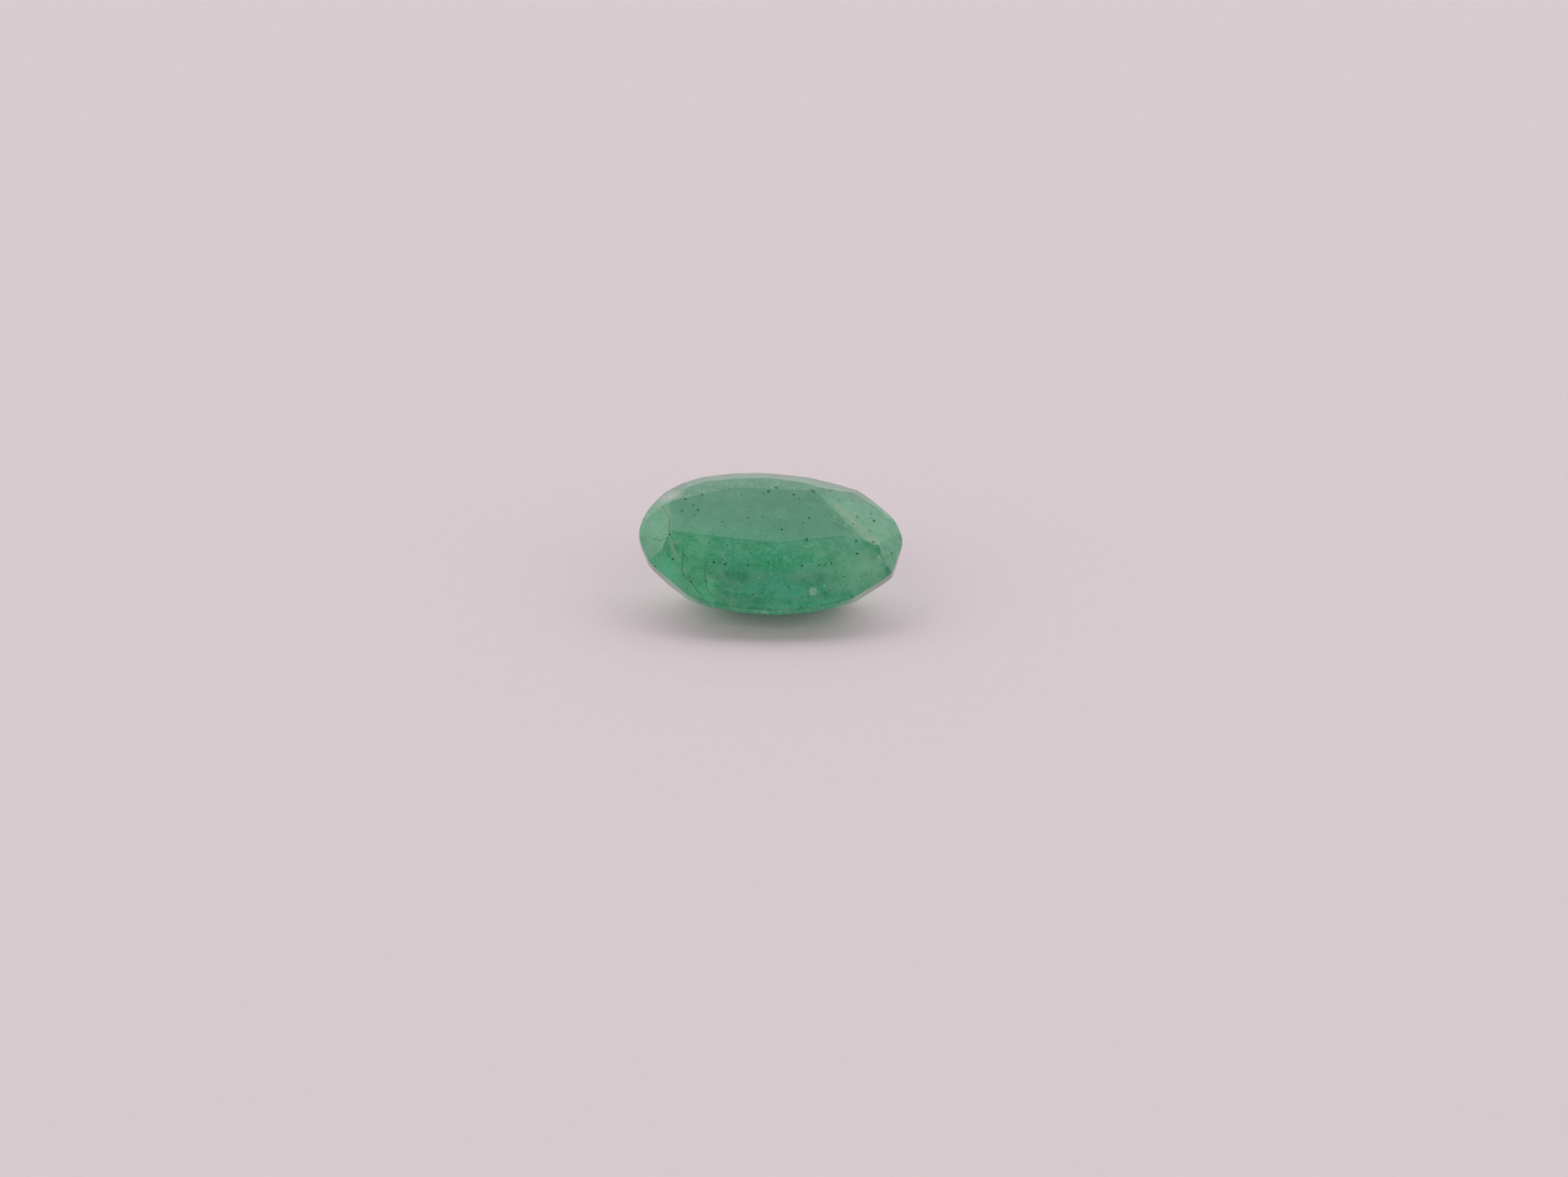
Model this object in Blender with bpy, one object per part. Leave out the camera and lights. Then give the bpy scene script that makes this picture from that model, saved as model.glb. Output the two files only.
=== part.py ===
"""A loose oval emerald, cut and polished by hand, lying tipped forward on its underside.

The stone is made as a gem cutter makes it: a rough block is ground flat, one facet after another.
Facets are given in millimetres and degrees in the stone's own axes, with +X along its length, +Z out
of the flat top and zero height at the girdle's upper edge. A facet's azimuth is the direction it
faces, anticlockwise from +X, and its slope is its angle to the girdle. The cut stone is then laid on
its front underside facet, with its long side to the right and the bottom centre of its box at the
origin.
"""
import math

import bmesh
import bpy
from mathutils import Matrix, Vector

MM = 0.001

ROUGH_SIZE = (14.0, 10.0, 12.0)
GIRDLE_HEIGHT = 0.3
TABLE_HEIGHT = 0.58
KEEL_DEPTH = 3.9

# Top facets: azimuth, slope, and how far from the middle each meets the table's level.
TOP_FACETS = {
    "front_left": (-92.7, 6.0, 0.60),
    "front_right": (-76.5, 4.5, 0.66),
    "front_low": (-80.5, 7.2, 0.87),
    "right_corner": (-73.4, 4.8, 0.84),
    "right_front": (-57.6, 7.7, 2.07),
    "right_end": (8.0, 30.0, 4.70),
    "right_step": (31.8, 2.5, 2.875),
    "right_back": (41.3, 11.9, 3.06),
    "back": (92.4, 15.0, 2.61),
    "left_back": (110.9, 15.0, 3.05),
    "left_end": (-176.2, 22.0, 4.67),
}

# Places on the girdle's oval, anticlockwise from the right end: x, y, and the slope of the rim facet
# above the stretch that starts there. The oval runs smoothly through them.
GIRDLE = (
    (5.97, 0.62, 33), (5.81, 1.20, 33), (5.42, 1.88, 33), (4.80, 2.50, 33), (3.64, 3.41, 31),
    (1.36, 3.97, 31), (-0.66, 4.04, 31), (-2.11, 3.88, 31), (-3.54, 3.50, 31), (-4.38, 3.07, 31),
    (-5.16, 2.40, 34), (-5.72, 1.49, 34), (-6.00, 0.66, 33), (-6.04, -0.37, 33), (-5.46, -1.77, 33),
    (-5.17, -2.12, 33), (-4.47, -2.86, 30), (-3.38, -3.69, 26), (-2.44, -3.98, 23), (-0.90, -4.17, 22),
    (0.74, -4.15, 22), (2.15, -3.86, 23), (3.37, -3.40, 22), (4.18, -3.02, 22), (5.33, -1.84, 26),
    (5.68, -1.42, 30), (5.87, -0.38, 34),
)

# Underside: one facet below each girdle side, a middle tier, and the keel facets that meet at the
# bottom. A middle facet is placed by how far from the middle it meets the level of the keel.
BELOW_GIRDLE_SLOPE = 49.0
GIRDLE_STEPS = 3
MIDDLE_TIER = (
    (-56.0, 40.0, 1.80), (-116.0, 40.0, 1.80), (-157.0, 40.0, 2.40), (157.0, 40.0, 2.30),
    (124.0, 40.0, 1.35), (90.0, 41.0, 0.75), (58.0, 40.0, 1.35), (22.0, 40.0, 2.30), (-20.0, 40.0, 2.40),
)
REST_AZIMUTH = -84.3
REST_SLOPE = 29.0
KEEL = (
    (REST_AZIMUTH, REST_SLOPE, 0.0), (95.0, 31.0, 0.0), (3.0, 27.0, 2.20), (178.0, 28.0, 2.30),
)

# How far the laid stone is turned about the upright, so that its long side runs along +X.
LONG_SIDE_TURN = 5.0


def facing(azimuth, slope, down=False):
    """The outward direction of a facet, or of an underside facet with down."""
    turn, lean = math.radians(azimuth), math.radians(slope)
    rise = -math.cos(lean) if down else math.cos(lean)
    return Vector((math.cos(turn) * math.sin(lean), math.sin(turn) * math.sin(lean), rise))


def out_along(azimuth, distance, height):
    """The point at a distance and height, in the direction of an azimuth."""
    turn = math.radians(azimuth)
    return Vector((math.cos(turn) * distance, math.sin(turn) * distance, height))


def grind(stone, point, normal):
    """Grind the stone flat through point, and close the facet that this opens."""
    everything = stone.verts[:] + stone.edges[:] + stone.faces[:]
    cut = bmesh.ops.bisect_plane(
        stone, geom=everything, dist=1e-5, plane_co=point, plane_no=normal, clear_outer=True)
    rim = [item for item in cut["geom_cut"] if isinstance(item, bmesh.types.BMEdge)]
    if rim:
        bmesh.ops.contextual_create(stone, geom=rim)


def grind_top(stone):
    grind(stone, Vector((0, 0, TABLE_HEIGHT)), Vector((0, 0, 1)))
    for azimuth, slope, distance in TOP_FACETS.values():
        grind(stone, out_along(azimuth, distance, TABLE_HEIGHT), facing(azimuth, slope))


def azimuth_of_side(start, end):
    """The azimuth that a side faces, where it runs from start to end anticlockwise."""
    return math.degrees(math.atan2(start.x - end.x, end.y - start.y))


def smooth_oval(corners):
    """A closed curve through the corners, with a few short sides between each two."""
    points = []
    for place, start in enumerate(corners):
        before, end, after = (corners[(place + step) % len(corners)] for step in (-1, 1, 2))
        leave, arrive = (end - before) / 2, (after - start) / 2
        for step in range(GIRDLE_STEPS):
            along = step / GIRDLE_STEPS
            points.append(
                start * (2 * along**3 - 3 * along**2 + 1) + end * (3 * along**2 - 2 * along**3)
                + leave * (along**3 - 2 * along**2 + along) + arrive * (along**3 - along**2))
    return points


def grind_girdle(stone):
    """Grind the girdle upright all round, then a sloping rim facet above and below each stretch."""
    corners = [Vector((x, y, 0)) for x, y, _ in GIRDLE]
    oval = smooth_oval(corners)
    for start, end in zip(oval, oval[1:] + oval[:1]):
        grind(stone, start, facing(azimuth_of_side(start, end), 90))
    drop = Vector((0, 0, GIRDLE_HEIGHT))
    for start, end, (_, _, slope) in zip(corners, corners[1:] + corners[:1], GIRDLE):
        azimuth = azimuth_of_side(start, end)
        grind(stone, start, facing(azimuth, slope))
        grind(stone, start - drop, facing(azimuth, BELOW_GIRDLE_SLOPE, down=True))


def grind_underside(stone):
    for azimuth, slope, distance in MIDDLE_TIER + KEEL:
        grind(stone, out_along(azimuth, distance, -KEEL_DEPTH), facing(azimuth, slope, down=True))


def lay_down(stone):
    """Tip the stone onto its rest facet, in metres, over the origin."""
    onto_facet = Matrix.Rotation(math.radians(REST_SLOPE), 4, "X")
    facet_to_front = Matrix.Rotation(math.radians(-90 - REST_AZIMUTH), 4, "Z")
    along_x = Matrix.Rotation(math.radians(LONG_SIDE_TURN), 4, "Z")
    stone.transform(Matrix.Scale(MM, 4) @ along_x @ onto_facet @ facet_to_front)
    xs, ys, zs = zip(*(vert.co for vert in stone.verts))
    middle = Vector(((min(xs) + max(xs)) / 2, (min(ys) + max(ys)) / 2, min(zs)))
    bmesh.ops.translate(stone, verts=stone.verts, vec=-middle)


def emerald_material():
    material = bpy.data.materials.new("emerald")
    material.use_nodes = True
    shader = material.node_tree.nodes["Principled BSDF"]
    shader.inputs["Base Color"].default_value = (0.08, 0.28, 0.17, 1)
    shader.inputs["Roughness"].default_value = 0.05
    shader.inputs["Metallic"].default_value = 0.0
    shader.inputs["IOR"].default_value = 1.58
    shader.inputs["Transmission Weight"].default_value = 0.8
    return material


def make_emerald():
    stone = bmesh.new()
    bmesh.ops.create_cube(stone, size=1.0, matrix=Matrix.Diagonal((*ROUGH_SIZE, 1)))
    grind_top(stone)
    grind_girdle(stone)
    grind_underside(stone)
    lay_down(stone)
    bmesh.ops.recalc_face_normals(stone, faces=stone.faces)
    mesh = bpy.data.meshes.new("emerald")
    stone.to_mesh(mesh)
    stone.free()
    mesh.materials.append(emerald_material())
    emerald = bpy.data.objects.new("emerald", mesh)
    bpy.context.collection.objects.link(emerald)


for old in list(bpy.data.objects):
    bpy.data.objects.remove(old)
make_emerald()
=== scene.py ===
"""Looks for a loose oval emerald: a polished, milky green stone with its inclusions, on a pale sheet."""
import math
import random

import bpy
from mathutils import Matrix, Vector


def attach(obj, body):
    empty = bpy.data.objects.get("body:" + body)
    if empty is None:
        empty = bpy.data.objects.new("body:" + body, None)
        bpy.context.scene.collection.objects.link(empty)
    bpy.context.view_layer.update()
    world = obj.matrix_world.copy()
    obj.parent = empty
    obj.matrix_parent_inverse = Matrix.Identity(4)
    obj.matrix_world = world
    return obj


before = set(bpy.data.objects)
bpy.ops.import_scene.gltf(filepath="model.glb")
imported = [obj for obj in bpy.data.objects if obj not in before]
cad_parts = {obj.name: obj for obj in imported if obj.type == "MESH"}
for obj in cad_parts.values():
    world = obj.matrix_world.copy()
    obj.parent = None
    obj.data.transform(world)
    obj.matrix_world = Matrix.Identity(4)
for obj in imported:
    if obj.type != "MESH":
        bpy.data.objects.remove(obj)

MM = 0.001
PICTURE_WIDTH, PICTURE_HEIGHT = 2212, 1661

# The stone is 370 picture pixels long, and is seen from a little above its rest, square to its front.
PIXEL = 12.0 * MM / 370
CAMERA_TURN, CAMERA_RISE, CAMERA_DISTANCE = math.radians(5.0), math.radians(21.0), 0.25
STONE_IN_PICTURE = (1088.0, 762.5)
GIRDLE_MIDDLE = Vector((0.057 * MM, -0.009 * MM, 3.411 * MM))
FRONT = Vector((math.sin(CAMERA_TURN), -math.cos(CAMERA_TURN), 0))
TOWARDS_EYE = FRONT * math.cos(CAMERA_RISE) + Vector((0, 0, math.sin(CAMERA_RISE)))
RIGHT = Vector((math.cos(CAMERA_TURN), math.sin(CAMERA_TURN), 0))
UP = TOWARDS_EYE.cross(RIGHT)

# How the stone lies: tipped forward, and turned a little about the upright.
STONE_TIP, STONE_TURN = math.radians(29.0), math.radians(5.0)
EMERALD_IOR = 1.58

# How the inclusions lie: drawn a little large, as thin plates, and polished off level with the facet.
SPECK_GAIN = 1.25
SPECK_THICKNESS = 0.3
SPECK_SUNK = 0.3
LEAST_TILT = 0.35

# A crack is a strip with this many steps along it, and starts this many mm above the facet.
CRACK_STEPS = 24
CRACK_TOP = -0.006

# Scattered crystals keep clear of the sheet, and of the edges of the facet that they lie in.
CLEAR_OF_SHEET = 0.15 * MM
CLEAR_OF_EDGES = 0.8

# What shows in the stone, in picture pixels: its place, length and width, and its lean in degrees.
BLACK_SPECKS = (
    (1084, 693, 5, 3.5, 10), (1120, 698, 5.5, 2.6, -28), (1023, 796, 4.6, 4.2, 40),
    (1020, 790, 5, 1.4, -60), (1055, 797, 3.2, 3, 0), (1131, 798, 4, 3, -30), (1173, 795, 3.4, 3.2, 20),
    (1209, 781, 4.2, 3, 10), (1233, 735, 5.4, 3.2, -40), (1208, 763, 4.2, 3, -15),
    (1103, 747, 4.2, 3, -20), (1055, 731, 3, 2.6, 0), (1075, 729, 3.2, 2.6, -20),
    (1141, 731, 3, 3.6, 60), (967, 704, 3.2, 2.6, 0), (991, 698, 5.4, 2, -35), (962, 721, 5.2, 1.7, 15),
    (978, 713, 2.8, 3.8, 80), (945, 754, 3, 3, 45), (949, 789, 4.2, 2.6, 0), (1007, 793, 3.6, 4.4, 60),
    (1062, 839, 3.6, 2.8, 10), (1113, 829, 4, 2, -60), (1151, 823, 2.6, 2.4, 0),
    (1258, 781, 4.2, 3, -20), (1141, 841.5, 6, 2.2, 8), (1232, 765, 4, 3.6, -30),
    (965, 783, 3.4, 2.6, -60),
)
DARK_GREEN_SPECKS = (
    (979, 727, 3, 3.2, 0), (974, 757, 4.4, 3, 0), (1001, 766, 3, 3.6, 80), (1006, 754, 3, 3, 0),
    (1026, 769, 3, 2.8, 0), (1019, 736, 3, 3.4, 50), (1003, 783, 3.4, 2, 0), (994, 794, 2.6, 2.2, 0),
    (970, 790, 3, 4, 70), (983, 788, 2.6, 2, 0), (1016, 793, 3, 2.4, 0), (1084, 794, 3.4, 4.2, 80),
    (1012, 827, 6.5, 3, -5), (1047, 822, 3, 4, 70), (1055, 819, 2.4, 2, 0), (1038, 838, 2.6, 2.2, 0),
    (1102, 789, 2.6, 2.4, 0), (1099, 793, 2, 1.8, 0), (1164, 797, 3, 4.6, 70), (1190, 801, 2.6, 2.2, 0),
    (1191, 814, 2.6, 2.8, 0), (1246, 797, 2.8, 2.6, 0), (1210, 730, 7, 2.8, -52),
    (1229, 725, 4.4, 2.2, 5), (1133, 738, 4.2, 2.8, -20), (1153, 708, 2.6, 2.4, 0),
    (1077, 697, 3, 2.6, 0), (1046, 698, 2.6, 2.4, 0), (1183, 705, 3.2, 2.4, 30), (1164, 836, 3, 2.6, 0),
    (1132, 842, 5.5, 3, 0), (1057, 741, 2.6, 2.2, 0), (1079, 851, 6, 1.5, 3), (1238, 770, 2.6, 2.2, 0),
    (1222, 767, 2.4, 2.6, 0), (1139, 807, 2.6, 2, 0), (1127, 704, 4, 2.4, 0), (1029, 689, 2.4, 2, 0),
    (1000, 688, 2.6, 1.8, 0), (968, 698, 4, 1.6, 0),
)
BROWN_SPECKS = (
    (1095, 688, 6, 4, -15), (1146, 692, 7.5, 2.4, -28), (984, 720, 4.6, 3.4, 20),
    (1171, 692, 3.4, 2.2, 0), (1138, 761, 6, 4.5, 20), (924, 799, 3.2, 3, 0), (996, 820, 3.2, 3.4, 0),
    (975, 821, 4.6, 3.4, -20), (1203, 739, 4, 2, -40), (1156, 798, 3.4, 3, 0), (1227, 749, 4, 1.6, 20),
    (1202, 843, 4, 1.6, 20),
)
BRIGHT_FLAKES = (
    (1095, 815, 2.4, 2, 0), (1087, 810, 2, 1.8, 0), (1088, 801, 3.4, 1.6, 5), (1077, 786, 2.2, 1.8, 0),
    (1070, 815.5, 2.6, 2, 0), (1078, 805, 1.6, 1.4, 0), (934, 790, 1.8, 2.4, 70),
    (1261, 773, 2.4, 2, 0), (1028, 799, 2, 1.6, 0), (1163, 827, 4, 3, 0), (1240, 787, 4, 5, 60),
    (1244, 790, 2.4, 2.4, 0), (948, 728, 2.2, 1.8, 0), (1189, 722, 3, 2, -40), (1123, 773, 2, 1.6, 0),
    (1165, 774, 2, 1.6, 0),
)

# Cracks, from one end to the other in the same pixels, with their thickness and depth in mm.
CRACKS = {
    "left_crack": (((963, 772), (964, 782), (963, 793), (962, 802), (963, 810), (967, 815), (975, 822),
                    (982, 831), (990, 841)), 0.034, 0.5),
    "front_crack": (((998, 792), (995, 801), (994, 811), (996, 821), (996, 829), (1000, 835), (1008, 844)),
                    0.026, 0.5),
    "left_end_crack": (((915, 758), (921, 761), (930, 763), (937, 760), (945, 758)), 0.014, 0.4),
    "right_end_crack": (((1242, 766), (1250, 775), (1258, 781)), 0.014, 0.4),
    "stained_crack": (((932, 713), (940, 722), (945, 731), (944, 742), (944, 752), (949, 762)), 0.02, 0.35),
}

# Clouds in the stone, in the same pixels: middle, half sizes, lean, colour and strength. A few are painted
# light and shade, not clouds.
DEEP, PALE, LIME = (0.02, 0.42, 0.20, 1), (0.24, 0.64, 0.42, 1), (0.12, 0.66, 0.28, 1)
SEA, FOREST, MILK = (0.08, 0.74, 0.41, 1), (0.02, 0.30, 0.13, 1), (0.42, 0.70, 0.48, 1)
CLOUDS = (
    (1085, 793, 75, 30, 0, DEEP, 0.8), (1130, 770, 60, 18, 0, DEEP, 0.6),
    (965, 790, 55, 60, 30, LIME, 0.65), (925, 745, 38, 50, 20, (0.2, 0.68, 0.38, 1), 0.8),
    (1218, 802, 45, 28, -12, (0.30, 0.74, 0.49, 1), 1.0), (1150, 808, 50, 16, -8, PALE, 0.55),
    # Painted light: the broad sea-green patch at 1100, 832 brightens the low front where light scattered in
    # the milky body shows.
    (1100, 832, 100, 30, 3, SEA, 0.9), (1002, 832, 30, 18, 20, LIME, 0.8),
    (940, 805, 34, 26, 40, SEA, 0.85), (1192, 826, 34, 13, -12, PALE, 0.9),
    # Painted shade: the forest band at 1090, 870 darkens the girdle's front over the shadow under the
    # stone.
    (1115, 852, 60, 8, 0, SEA, 0.6), (1090, 870, 120, 8, 0, FOREST, 0.9),
    (1003, 816, 9, 7, 0, MILK, 0.6), (1038, 823, 9, 5, 10, MILK, 0.4),
    (1020, 841, 14, 5, 35, MILK, 0.4), (1001, 831, 8, 5, 20, MILK, 0.4),
    (1015, 792, 16, 8, 0, FOREST, 0.55), (980, 800, 7, 9, 20, FOREST, 0.4),
    (955, 775, 7, 9, 0, FOREST, 0.4), (987, 822, 9, 8, 30, FOREST, 0.35),
    (1030, 812, 10, 5, 5, FOREST, 0.5), (1234, 785, 8, 9, 20, FOREST, 0.35),
    (1252, 804, 6, 10, 15, FOREST, 0.9), (1064, 849, 11, 8, 0, FOREST, 0.35),
    (1164, 797, 9, 7, 0, FOREST, 0.4), (1133, 818, 9, 5, 0, FOREST, 0.35),
    (1210, 730, 10, 5, 50, FOREST, 0.5), (909, 762, 6, 5, 0, FOREST, 0.5),
    (1218, 780, 16, 9, -40, MILK, 0.3), (1186, 741, 34, 11, 39, FOREST, 0.85),
    (1125, 750, 70, 12, 0, FOREST, 0.25), (1000, 743, 26, 9, 0, MILK, 0.1),
    (1020, 700, 60, 12, -8, PALE, 0.25), (970, 730, 24, 22, 0, DEEP, 0.15),
    (1200, 792, 10, 9, 0, MILK, 0.3), (948, 740, 7, 22, 0, FOREST, 0.3),
    (1000, 792, 12, 10, 0, DEEP, 0.4), (1190, 700, 34, 9, 26, MILK, 0.5),
)

# Where the edges are worn and the stone is frosty: lines, and patches with half sizes and lean.
WORN_RIGHT_EDGE = ((1181, 715), (1196, 729), (1210, 743), (1222, 757), (1236, 766))
WORN_LEFT_EDGE = ((934, 714), (946, 729), (945, 755), (950, 775), (958, 790))
WORN_PATCHES = (
    (956, 765, 8, 4, 0), (968, 805, 6, 6, 0), (1240, 788, 8, 9, 20), (1231, 759, 14, 6, 35),
    (932, 716, 8, 6, 0), (1222, 790, 8, 6, 0),
)


class Value:
    """A shader socket that is added, multiplied and compared like a number."""

    def __init__(self, nodes, socket):
        self.nodes, self.socket = nodes, socket

    def _maths(self, operation, *values, clamp=False):
        return self.nodes.node("ShaderNodeMath", dict(enumerate(values)),
                               {"operation": operation, "use_clamp": clamp})

    def __add__(self, other):
        return self._maths("ADD", self, other)

    __radd__ = __add__

    def __sub__(self, other):
        return self._maths("SUBTRACT", self, other)

    def __rsub__(self, other):
        return self._maths("SUBTRACT", other, self)

    def __mul__(self, other):
        return self._maths("MULTIPLY", self, other)

    __rmul__ = __mul__

    def larger(self, other):
        return self._maths("MAXIMUM", self, other)

    def clamped(self):
        return self._maths("ADD", self, 0.0, clamp=True)


class Nodes:
    """A node tree, and the nodes added to it."""

    def __init__(self, tree):
        self.tree = tree

    def node(self, kind, inputs=None, settings=None, out=0):
        made = self.tree.nodes.new(kind)
        for name, value in (settings or {}).items():
            setattr(made, name, value)
        for name, value in (inputs or {}).items():
            self.give(made.inputs[name], value)
        return Value(self, made.outputs[out])

    def give(self, socket, value):
        if isinstance(value, Value):
            self.tree.links.new(value.socket, socket)
        else:
            socket.default_value = value

    def mix(self, factor, low, high):
        """A colour between two, by a factor."""
        return self.node("ShaderNodeMix", {0: factor, 6: low, 7: high}, {"data_type": "RGBA"}, out=2)

    def ramp(self, value, low, high):
        """Zero at low and one at high."""
        return self.node("ShaderNodeMapRange", {"Value": value, "From Min": low, "From Max": high},
                         {"clamp": True})

    def along(self, vector, way):
        """How far a vector goes along a way."""
        return self.node("ShaderNodeVectorMath", {0: vector, 1: way}, {"operation": "DOT_PRODUCT"},
                         out="Value")

    def length(self, vector):
        return self.node("ShaderNodeVectorMath", {0: vector}, {"operation": "LENGTH"}, out="Value")


class Paint(Nodes):
    """A material, and the patterns that it is made of."""

    def __init__(self, name):
        self.material = bpy.data.materials.new(name)
        self.material.use_nodes = True
        super().__init__(self.material.node_tree)
        self.shader = self.tree.nodes["Principled BSDF"]
        self.output = self.tree.nodes["Material Output"]
        self.where = self.node("ShaderNodeTexCoord", out="Object")

    def set(self, **values):
        for name, value in values.items():
            self.give(self.shader.inputs[name.replace("_", " ")], value)

    def turned(self, where, scale=(1, 1, 1), shift=(0, 0, 0), turn=(0, 0, 0)):
        return self.node("ShaderNodeMapping", {
            "Vector": where, "Scale": scale, "Location": shift, "Rotation": turn})

    def noise(self, size, detail=4.0, roughness=0.5, distortion=0.0, stretch=(1, 1, 1), turn=(0, 0, 0),
              seed=0.0, where=None):
        turned = self.turned(where or self.where, turn=turn)
        scale = tuple(s / size for s in stretch)
        return self.node("ShaderNodeTexNoise", {
            "Vector": self.turned(turned, scale=scale, shift=(seed, seed * 0.7, -seed)), "Scale": 1.0,
            "Detail": detail, "Roughness": roughness, "Distortion": distortion})

    def patch(self, where, middle, radii, lean=0.0, soft=1.0):
        """One inside an oval about a middle, fading to nothing at its rim."""
        centred = self.turned(where, shift=(-middle[0], -middle[1], 0))
        turned = self.turned(centred, turn=(0, 0, -math.radians(lean)))
        near = self.length(self.turned(turned, scale=(1 / radii[0], 1 / radii[1], 0)))
        return self.ramp(near, 1.0, 1.0 - soft)

    def line(self, where, start, end, width):
        """One on the line from start to end, fading to nothing at its width."""
        reach = math.dist(start, end)
        way = ((end[0] - start[0]) / reach, (end[1] - start[1]) / reach, 0)
        centred = self.turned(where, shift=(-start[0], -start[1], 0))
        far = self._limited(self.along(centred, way), reach)
        beside = self.along(centred, (-way[1], way[0], 0))
        past = self.along(centred, way) - far
        near = self.node("ShaderNodeMath", {0: beside * beside + past * past}, {"operation": "SQRT"})
        return self.ramp(near, width, width * 0.3)

    def beyond(self, where, start, end, soft=1.0):
        """One on the upper right of the line from start to end, and zero on its lower left."""
        reach = math.dist(start, end)
        way = ((end[1] - start[1]) / reach, -(end[0] - start[0]) / reach, 0)
        centred = self.turned(where, shift=(-start[0], -start[1], 0))
        return self.ramp(self.along(centred, way), -soft, soft)

    def _limited(self, value, top):
        return self.node("ShaderNodeClamp", {"Value": value, "Min": 0.0, "Max": top})

    def lines(self, where, places, width):
        shown = None
        for start, end in zip(places, places[1:]):
            one = self.line(where, start, end, width)
            shown = one if shown is None else shown.larger(one)
        return shown


def seen_from_front(paint):
    """Places on the stone as the camera's side shows them, in picture pixels."""
    across = paint.along(paint.where, tuple(RIGHT / PIXEL))
    up = paint.along(paint.where, tuple(UP / PIXEL))
    middle = GIRDLE_MIDDLE / PIXEL
    x = across + (STONE_IN_PICTURE[0] - middle.dot(RIGHT))
    y = (STONE_IN_PICTURE[1] + middle.dot(UP)) - up
    return paint.node("ShaderNodeCombineXYZ", {"X": x, "Y": y})


class StonePlaces:
    """Where a point of the stone is, in the picture's pixels and in mm along the stone's own axes."""

    def __init__(self, paint):
        self.seen = seen_from_front(paint)
        laid = paint.turned(paint.where, shift=tuple(-GIRDLE_MIDDLE))
        unturned = paint.turned(laid, turn=(0, 0, -STONE_TURN))
        level = paint.turned(unturned, turn=(-STONE_TIP, 0, 0))
        self.across = paint.along(level, (1 / MM, 0, 0))
        self.back = paint.along(level, (0, 1 / MM, 0))
        self.height = paint.along(level, (0, 0, 1 / MM))
        self.table = paint.ramp(self.height, 0.570, 0.578)


def cloudy_green(paint, places, clouds):
    """The body's green: broad clouds, calmer in the big top facet, with painted shade that makes that facet
    darker and greyer, and some patches of painted light and shade low in the front.
    """
    warmth = paint.noise(1.1 * MM, detail=3.0, distortion=0.5, seed=23.0)
    body = paint.mix(paint.ramp(clouds, 0.34, 0.66), (0.05, 0.42, 0.22, 1), (0.12, 0.52, 0.31, 1))
    body = paint.mix(paint.ramp(warmth, 0.45, 0.75) * 0.35, body, (0.17, 0.54, 0.23, 1))
    # Painted shade: the big top facet is darkened and greyed.
    body = paint.mix(places.table * 0.6, body, (0.05, 0.37, 0.205, 1))
    for x, y, wide, tall, lean, colour, strength in CLOUDS:
        cloud = paint.patch(places.seen, (x, y), (wide, tall), lean, 0.8)
        body = paint.mix(cloud * strength, body, colour)
    return body


def right_end(paint, places, body):
    """Painted light at the right end: a painted reflection that brightens its ring of facets, and painted
    shade on the facet under it.
    """
    ring = (paint.beyond(places.seen, (1149, 692), (1240, 767))
            * paint.beyond(places.seen, (1236, 768), (1269, 753)))
    # Painted reflection on the ring of facets.
    body = paint.mix(ring * 0.7, body, (0.21, 0.62, 0.38, 1))
    # Painted shade on the facet under the ring.
    under = paint.patch(places.seen, (1263, 778), (26, 26), 0, 0.5) * (1 - ring)
    return paint.mix(under * 0.8, body, (0.05, 0.46, 0.23, 1))


def painted_shade_sides(paint, places, body):
    """Painted shade: behind the flat top the stone is painted duller, and its front rim is painted deep and
    dark where it faces the shadow on the sheet.
    """
    # Painted shade on the facets behind the flat top.
    far = paint.ramp(places.back, 2.0, 2.8) * (1 - places.table)
    body = paint.mix(far * 0.45, body, (0.05, 0.30, 0.17, 1))
    # Painted shade along the front rim, over the shadow under the stone.
    painted_shade_front_rim = paint.ramp(places.height, 0.04, -0.02) * paint.ramp(places.back, -2.2, -3.0)
    return paint.mix(painted_shade_front_rim * 0.9, body, (0.02, 0.25, 0.12, 1))


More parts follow.
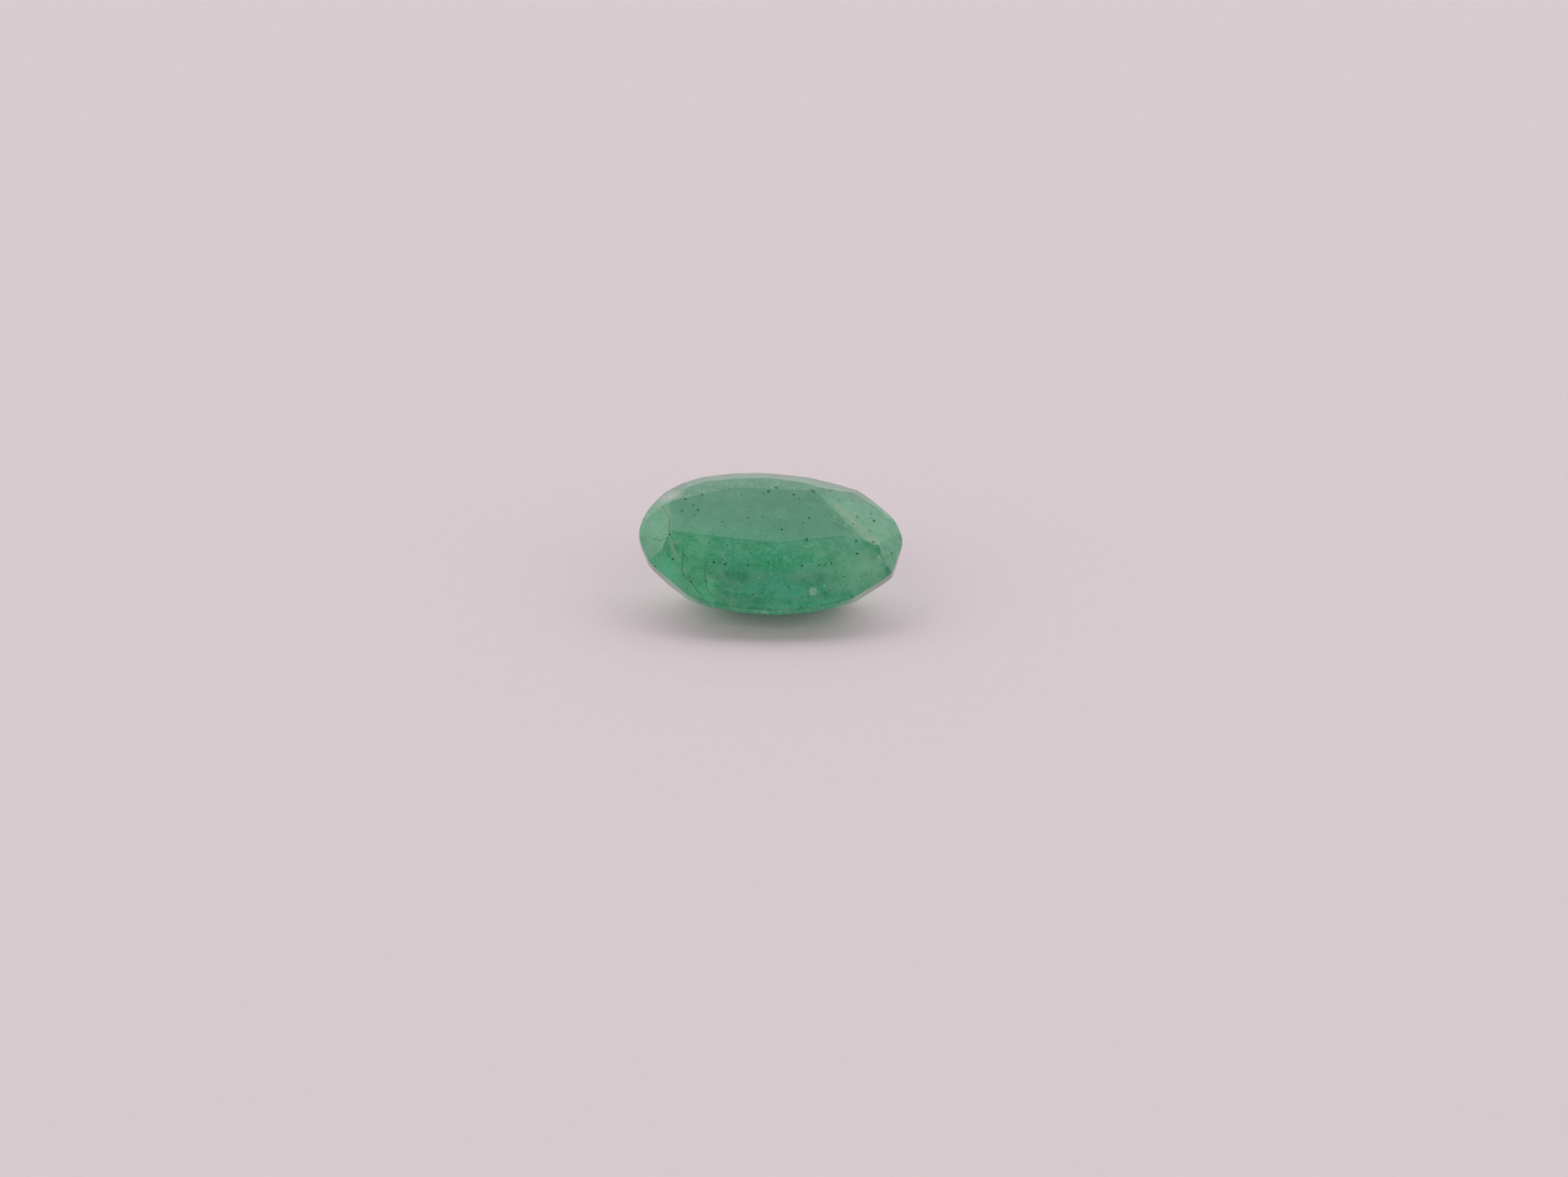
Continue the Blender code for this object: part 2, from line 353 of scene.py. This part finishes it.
def mottling(paint, places, body):
    """Streaks in the flat top, mottles and grain over all, and fine creamy wisps to the right."""
    strength = 1 - places.table * 0.6
    streaks = paint.noise(0.8 * MM, detail=6.0, roughness=0.6, distortion=0.6, stretch=(0.3, 1, 1),
                          seed=17.0)
    mottle = paint.noise(0.5 * MM, detail=8.0, roughness=0.68, distortion=0.7, seed=7.3)
    grain = paint.noise(0.13 * MM, detail=3.0, roughness=0.6, seed=11.9)
    body = paint.mix(paint.ramp(streaks, 0.5, 0.68) * places.table * 0.35, body, (0.13, 0.42, 0.29, 1))
    body = paint.mix(paint.ramp(streaks, 0.48, 0.34) * places.table * 0.4, body, (0.03, 0.33, 0.17, 1))
    body = paint.mix(paint.ramp(mottle, 0.5, 0.64) * 0.6 * strength, body, (0.24, 0.62, 0.42, 1))
    body = paint.mix(paint.ramp(mottle, 0.48, 0.35) * 0.6 * strength, body, (0.02, 0.34, 0.15, 1))
    body = paint.mix(paint.ramp(grain, 0.5, 0.68) * 0.38 * strength, body, (0.30, 0.64, 0.45, 1))
    body = paint.mix(paint.ramp(grain, 0.44, 0.30) * 0.42 * strength, body, (0.02, 0.28, 0.12, 1))
    wisps = paint.noise(0.3 * MM, detail=4.0, distortion=0.8, stretch=(0.25, 1, 1),
                        turn=(0, 0, math.radians(38)), seed=31.0)
    region = paint.patch(places.seen, (1215, 745), (62, 50), 35, 0.7)
    return paint.mix(paint.ramp(wisps, 0.5, 0.75) * region * 0.4, body, (0.40, 0.66, 0.46, 1))


def rims_with_painted_reflection(paint, places, body):
    """Painted reflection: the thin rim is painted pale and almost without colour at the back, and near
    white along the girdle's ends, for the bright room and sheet that they reflect.
    """
    thin = paint.ramp(places.height, 0.36, 0.12) * paint.ramp(places.back, 1.6, 3.0)
    ends = (paint.ramp(places.height, 0.03, -0.02)
            * paint.ramp(places.across * places.across, 9.0, 16.0) * paint.ramp(places.back, -0.5, -1.3))
    # Painted reflection on the back rim.
    body = paint.mix(thin * 0.7, body, (0.22, 0.25, 0.21, 1))
    # Painted reflection of the sheet at the girdle's ends.
    return paint.mix(ends * 0.9, body, (0.66, 0.62, 0.60, 1))


def worn_and_frosted(paint, places, body):
    """Creamy worn edges and a bright frosted patch at the far left, and where they are."""
    speckle = paint.ramp(paint.noise(0.16 * MM, detail=4.0, roughness=0.7, seed=41.0), 0.35, 0.6)
    right_edge = paint.lines(places.seen, WORN_RIGHT_EDGE, 7)
    left_edge = paint.lines(places.seen, WORN_LEFT_EDGE, 4)
    worn = (right_edge * 1.1).larger(left_edge * 0.8) * (0.25 + speckle * 0.75)
    for x, y, wide, tall, lean in WORN_PATCHES:
        worn = worn.larger(paint.patch(places.seen, (x, y), (wide, tall), lean, 0.9) * speckle)
    body = paint.mix(worn * 0.75, body, (0.48, 0.68, 0.50, 1))
    frost = paint.patch(places.seen, (945, 700), (22, 9), -14, 0.8) * (0.4 + speckle * 0.6)
    body = paint.mix(frost * 0.95, body, (0.86, 0.86, 0.82, 1))
    return body, worn.larger(frost).clamped()


def emerald_material():
    """Milky green beryl: saturated in its depth and paler in its clouds, with painted shade on some facets
    and painted reflection at the thin rim.
    """
    paint = Paint("milky_emerald")
    places = StonePlaces(paint)
    clouds = paint.noise(1.5 * MM, detail=5.0, distortion=0.8, seed=3.1)
    body = cloudy_green(paint, places, clouds)
    body = right_end(paint, places, body)
    body = painted_shade_sides(paint, places, body)
    body = mottling(paint, places, body)
    body = rims_with_painted_reflection(paint, places, body)
    body, frosted = worn_and_frosted(paint, places, body)

    # The polish is a little uneven, and softest where the back facets meet the flat top.
    rounded = (paint.ramp(places.height, 0.35, 0.56) * paint.ramp(places.back, 1.5, 2.3)
               * (1 - places.table))
    polish = 0.88 - paint.ramp(clouds, 0.4, 0.7) * 0.12 - rounded * 0.35 - frosted * 0.4
    paint.set(Base_Color=body, Roughness=0.35, IOR=EMERALD_IOR, Transmission_Weight=0.6,
              Specular_IOR_Level=0.0, Coat_Weight=polish.clamped(), Coat_Roughness=0.02,
              Coat_IOR=EMERALD_IOR)
    absorb = paint.tree.nodes.new("ShaderNodeVolumeAbsorption")
    absorb.inputs["Color"].default_value = (0.1, 0.85, 0.5, 1)
    absorb.inputs["Density"].default_value = 30.0
    paint.tree.links.new(absorb.outputs[0], paint.output.inputs["Volume"])
    return paint.material


def mineral_material(name, dark, light, size):
    """A small crystal or film in the stone, mottled between two tones."""
    paint = Paint(name)
    tone = paint.ramp(paint.noise(size, detail=4.0, roughness=0.6, seed=2.0), 0.35, 0.65)
    paint.set(Base_Color=paint.mix(tone, dark, light), Roughness=0.25, Specular_IOR_Level=0.15)
    return paint.material


def sheet_material():
    """A matt pinkish white sheet with a faint unevenness."""
    paint = Paint("pale_sheet")
    fibres = paint.noise(0.6 * MM, detail=5.0, seed=1.0)
    tone = paint.mix(paint.ramp(fibres, 0.3, 0.7), (0.745, 0.655, 0.685, 1), (0.765, 0.67, 0.70, 1))
    paint.set(Base_Color=tone, Roughness=0.9)
    return paint.material


def in_picture(x, y):
    """The place behind a picture pixel, on the upright plane through the girdle's middle."""
    return (GIRDLE_MIDDLE + RIGHT * (x - STONE_IN_PICTURE[0]) * PIXEL
            + UP * (STONE_IN_PICTURE[1] - y) * PIXEL)


def in_stone(emerald, x, y, depth):
    """Where a thing lies that shows at a picture pixel, so many mm along the bent ray into the stone,
    and the facet's outward direction."""
    eye = in_picture(PICTURE_WIDTH / 2, PICTURE_HEIGHT / 2) + TOWARDS_EYE * CAMERA_DISTANCE
    ray = (in_picture(x, y) - eye).normalized()
    met, place, normal, _ = emerald.ray_cast(eye, ray)
    if not met:
        raise ValueError("no stone at pixel %s, %s" % (x, y))
    steep, bend = -ray.dot(normal), 1 / EMERALD_IOR
    into = ray * bend + normal * (bend * steep - math.sqrt(1 - bend**2 * (1 - steep**2)))
    return place + into.normalized() * depth * MM, normal


def crystal_shape(name, seed):
    """A small irregular crystal, one unit across."""
    bpy.ops.object.select_all(action="DESELECT")
    bpy.ops.mesh.primitive_ico_sphere_add(subdivisions=1, radius=0.5)
    crystal = bpy.context.object
    crystal.name = name
    bpy.ops.object.mode_set(mode="EDIT")
    bpy.ops.mesh.subdivide(number_cuts=1)
    bpy.ops.transform.vertex_random(offset=0.16, seed=seed)
    bpy.ops.object.mode_set(mode="OBJECT")
    return crystal


def join_pieces(pieces, name, material):
    """One piece of all the crystals of a kind, riding on the stone."""
    bpy.ops.object.select_all(action="DESELECT")
    for piece in pieces:
        piece.select_set(True)
    bpy.context.view_layer.objects.active = pieces[0]
    bpy.ops.object.join()
    joined = bpy.context.object
    joined.name = name
    joined.data.materials.clear()
    joined.data.materials.append(material)
    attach(joined, "root")


def on_facet(normal):
    """Axes that lie along a facet, as near as can be to the picture's, with the size lost by its tilt."""
    across = (RIGHT - normal * RIGHT.dot(normal)).normalized()
    up = normal.cross(across)
    turn = Matrix((across, up, normal)).transposed().to_4x4()
    return turn @ Matrix.Diagonal((1, 1 / max(normal.dot(TOWARDS_EYE), LEAST_TILT), 1, 1))


def lay_crystal(shapes, chance, place, normal, long, wide, lean):
    """A copy of one of the shapes, polished off almost level with the facet that it lies in."""
    shape = chance.choice(shapes)
    thick = SPECK_THICKNESS * wide
    size = Matrix.Diagonal((long, wide, thick, 1))
    turn = Matrix.Rotation(math.radians(lean), 4, "Z")
    spin = Matrix.Rotation(chance.uniform(0, math.pi), 4, "Z")
    copy = shape.copy()
    copy.data = shape.data.copy()
    bpy.context.collection.objects.link(copy)
    copy.data.transform(Matrix.Translation(place - normal * thick * SPECK_SUNK) @ on_facet(normal)
                        @ turn @ size @ spin)
    return copy


def make_crystals(emerald, name, places, material, seed):
    """A crystal at each place in the picture."""
    chance = random.Random(seed)
    shapes = [crystal_shape(name + "_shape", seed * 10 + turn) for turn in range(3)]
    pieces = []
    for x, y, long, wide, lean in places:
        place, normal = in_stone(emerald, x, y, 0.0)
        pieces.append(lay_crystal(shapes, chance, place, normal, SPECK_GAIN * long * PIXEL,
                                  SPECK_GAIN * wide * PIXEL, lean))
    for shape in shapes:
        bpy.data.objects.remove(shape)
    join_pieces(pieces, name, material)


def scatter_crystals(emerald, name, count, sizes, material, seed, hidden_only=False):
    """So many crystals anywhere on the stone, or only on the sides that the camera doesn't see.
    Their least and greatest width is in mm."""
    chance = random.Random(seed)
    shapes = [crystal_shape(name + "_shape", seed * 10 + turn) for turn in range(3)]
    pieces = []
    while len(pieces) < count:
        way = Vector([chance.gauss(0, 1) for _ in range(3)]).normalized()
        met, place, normal, _ = emerald.ray_cast(GIRDLE_MIDDLE, way)
        in_sight = normal.dot(TOWARDS_EYE) > -0.05
        if not met or place.z < CLEAR_OF_SHEET or (hidden_only and in_sight):
            continue
        wide = chance.uniform(*sizes) * MM
        long, lean = wide * chance.uniform(1.0, 1.6), chance.uniform(0, 180)
        axes = on_facet(normal).to_3x3()
        around = [place + axes @ Vector((x, y, 0)) * long * CLEAR_OF_EDGES
                  for x, y in ((1, 0), (-1, 0), (0, 1), (0, -1))]
        if any(emerald.closest_point_on_mesh(point)[2].dot(normal) < 0.999 for point in around):
            continue
        pieces.append(lay_crystal(shapes, chance, place, normal, long, wide, lean))
    for shape in shapes:
        bpy.data.objects.remove(shape)
    join_pieces(pieces, name, material)


def make_crack(emerald, name, places, thickness, deep, material):
    """A thin film that runs down into the stone from a line on its surface."""
    bpy.ops.object.select_all(action="DESELECT")
    bpy.ops.mesh.primitive_grid_add(x_subdivisions=CRACK_STEPS, y_subdivisions=3, size=1.0)
    crack = bpy.context.object
    crack.name = name
    chance = random.Random(len(name))
    sway = [chance.uniform(-0.8, 0.8) for _ in range(CRACK_STEPS + 2)]
    for vert in crack.data.vertices:
        along, down = vert.co.x + 0.5, 0.5 - vert.co.y
        step = min(along * (len(places) - 1), len(places) - 1.001)
        low, part = int(step), step - int(step)
        x = places[low][0] + (places[low + 1][0] - places[low][0]) * part
        y = places[low][1] + (places[low + 1][1] - places[low][1]) * part
        wander = sway[round(along * CRACK_STEPS)]
        place, _ = in_stone(emerald, x + wander * 0.4, y, CRACK_TOP + deep * down)
        vert.co = place + RIGHT * wander * down * 0.02 * MM
    solid = crack.modifiers.new("thickness", "SOLIDIFY")
    solid.thickness = thickness * MM
    solid.offset = 0.0
    bpy.ops.object.modifier_apply(modifier="thickness")
    bpy.ops.object.shade_smooth_by_angle(angle=math.radians(40))
    crack.data.materials.append(material)
    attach(crack, "root")


def make_platelet(emerald, material):
    """A pale five-sided plate of mica, low in the front."""
    bpy.ops.object.select_all(action="DESELECT")
    bpy.ops.mesh.primitive_cylinder_add(vertices=5, radius=0.5, depth=0.14)
    plate = bpy.context.object
    plate.name = "pale_platelet"
    bpy.ops.object.mode_set(mode="EDIT")
    bpy.ops.transform.vertex_random(offset=0.09, seed=5)
    bpy.ops.mesh.select_all(action="SELECT")
    bpy.ops.mesh.bevel(offset=0.03, segments=2)
    bpy.ops.object.mode_set(mode="OBJECT")
    place, normal = in_stone(emerald, 1147, 834.5, 0.0)
    size = Matrix.Diagonal((13 * PIXEL, 14 * PIXEL, 4 * PIXEL, 1))
    plate.data.transform(Matrix.Translation(place - normal * 0.2 * PIXEL) @ on_facet(normal)
                         @ Matrix.Rotation(math.radians(14), 4, "Z") @ size)
    plate.data.materials.append(material)
    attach(plate, "root")


def make_inclusions(emerald):
    """All that shows in the stone, each kind in its own mineral."""
    black = mineral_material("black_mica", (0.005, 0.06, 0.025, 1), (0.03, 0.12, 0.06, 1), 0.03 * MM)
    dark_green = mineral_material("dark_green_mica", (0.01, 0.16, 0.06, 1), (0.04, 0.25, 0.11, 1),
                                  0.03 * MM)
    brown = mineral_material("brown_stain", (0.05, 0.10, 0.05, 1), (0.09, 0.15, 0.08, 1), 0.05 * MM)
    bright = mineral_material("bright_flake", (0.12, 0.40, 0.26, 1), (0.24, 0.55, 0.40, 1), 0.03 * MM)
    haze = mineral_material("pale_pinpoint", (0.12, 0.46, 0.29, 1), (0.22, 0.56, 0.38, 1), 0.03 * MM)
    film = mineral_material("crack_film", (0.02, 0.17, 0.07, 1), (0.05, 0.27, 0.12, 1), 0.2 * MM)
    cream = mineral_material("pale_mica", (0.10, 0.26, 0.16, 1), (0.22, 0.38, 0.26, 1), 0.12 * MM)
    make_crystals(emerald, "black_specks", BLACK_SPECKS, black, 1)
    make_crystals(emerald, "dark_green_specks", DARK_GREEN_SPECKS, dark_green, 2)
    make_crystals(emerald, "brown_specks", BROWN_SPECKS, brown, 3)
    make_crystals(emerald, "bright_flakes", BRIGHT_FLAKES, bright, 4)
    scatter_crystals(emerald, "dark_pinpoints", 240, (0.02, 0.045), dark_green, 5)
    scatter_crystals(emerald, "pale_pinpoints", 260, (0.02, 0.05), haze, 6)
    scatter_crystals(emerald, "hidden_dark_specks", 60, (0.06, 0.12), black, 7, hidden_only=True)
    for name, (places, thickness, deep) in CRACKS.items():
        make_crack(emerald, name, places, thickness, deep, film)
    make_platelet(emerald, cream)


def make_floor():
    """The pale sheet that the stone lies on."""
    bpy.ops.object.select_all(action="DESELECT")
    bpy.ops.mesh.primitive_plane_add(size=1.2, location=(0, 0, 0))
    floor = bpy.context.object
    floor.name = "floor"
    floor.data.materials.append(sheet_material())


def pale_light(strength):
    """White light with a touch less green and blue."""
    return (strength, strength * 0.985, strength * 0.99, 1)


def make_light():
    """A pale room, brightest low in front and behind, with a dark patch leaning over the stone."""
    world = bpy.data.worlds.new("room")
    bpy.context.scene.world = world
    world.use_nodes = True
    room = Nodes(world.node_tree)
    background = room.tree.nodes["Background"]
    way = room.node("ShaderNodeTexCoord", out="Generated")
    lean = math.radians(68)
    dark_way = FRONT * math.cos(lean) + Vector((0, 0, math.sin(lean)))
    dark = room.ramp(room.along(way, tuple(dark_way)), math.cos(math.radians(27)),
                     math.cos(math.radians(23)))
    rise, front = room.along(way, (0, 0, 1)), room.along(way, tuple(FRONT))
    light = room.mix(room.ramp(rise, 0.5, 0.8), pale_light(1.1), pale_light(1.3))

    # Behind the stone it is brighter, but less so low down.
    behind = room.ramp(front, -0.42, -0.62)
    light = room.mix(behind, light, pale_light(1.45))
    light = room.mix(behind * room.ramp(rise, 0.6, 0.45), light, pale_light(1.15))

    # In front it is bright low down and dim above, and right above the stone it is plain.
    light = room.mix(room.ramp(front, 0.1, 0.5), light, pale_light(1.5))
    side_top, middle_top = room.ramp(rise, 0.5, 0.62), room.ramp(rise, 0.68, 0.74)
    top = side_top + (middle_top - side_top) * room.ramp(front, 0.45, 0.6)
    light = room.mix(room.ramp(front, -0.12, 0.05) * top, light, pale_light(0.35))
    light = room.mix(room.ramp(rise, 0.93, 0.97), light, pale_light(1.0))
    room.give(background.inputs["Color"], room.mix(dark, light, pale_light(0.06)))
    background.inputs["Strength"].default_value = 0.93


def make_camera():
    """The camera, square to the stone's front and a little above it."""
    camera = bpy.data.objects.new("camera", bpy.data.cameras.new("camera"))
    bpy.context.collection.objects.link(camera)
    camera.matrix_world = Matrix((RIGHT, UP, TOWARDS_EYE)).transposed().to_4x4()
    camera.location = (in_picture(PICTURE_WIDTH / 2, PICTURE_HEIGHT / 2)
                       + TOWARDS_EYE * CAMERA_DISTANCE)
    camera.data.sensor_width = 36.0
    camera.data.lens = 36.0 * CAMERA_DISTANCE / (PICTURE_WIDTH * PIXEL)
    camera.data.clip_start = 0.01
    bpy.context.scene.camera = camera


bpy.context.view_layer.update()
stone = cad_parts["emerald"]
make_camera()
make_light()
make_floor()
make_inclusions(stone)
stone.data.materials.clear()
stone.data.materials.append(emerald_material())
bpy.context.scene.view_settings.view_transform = "Standard"
bpy.context.view_layer.update()
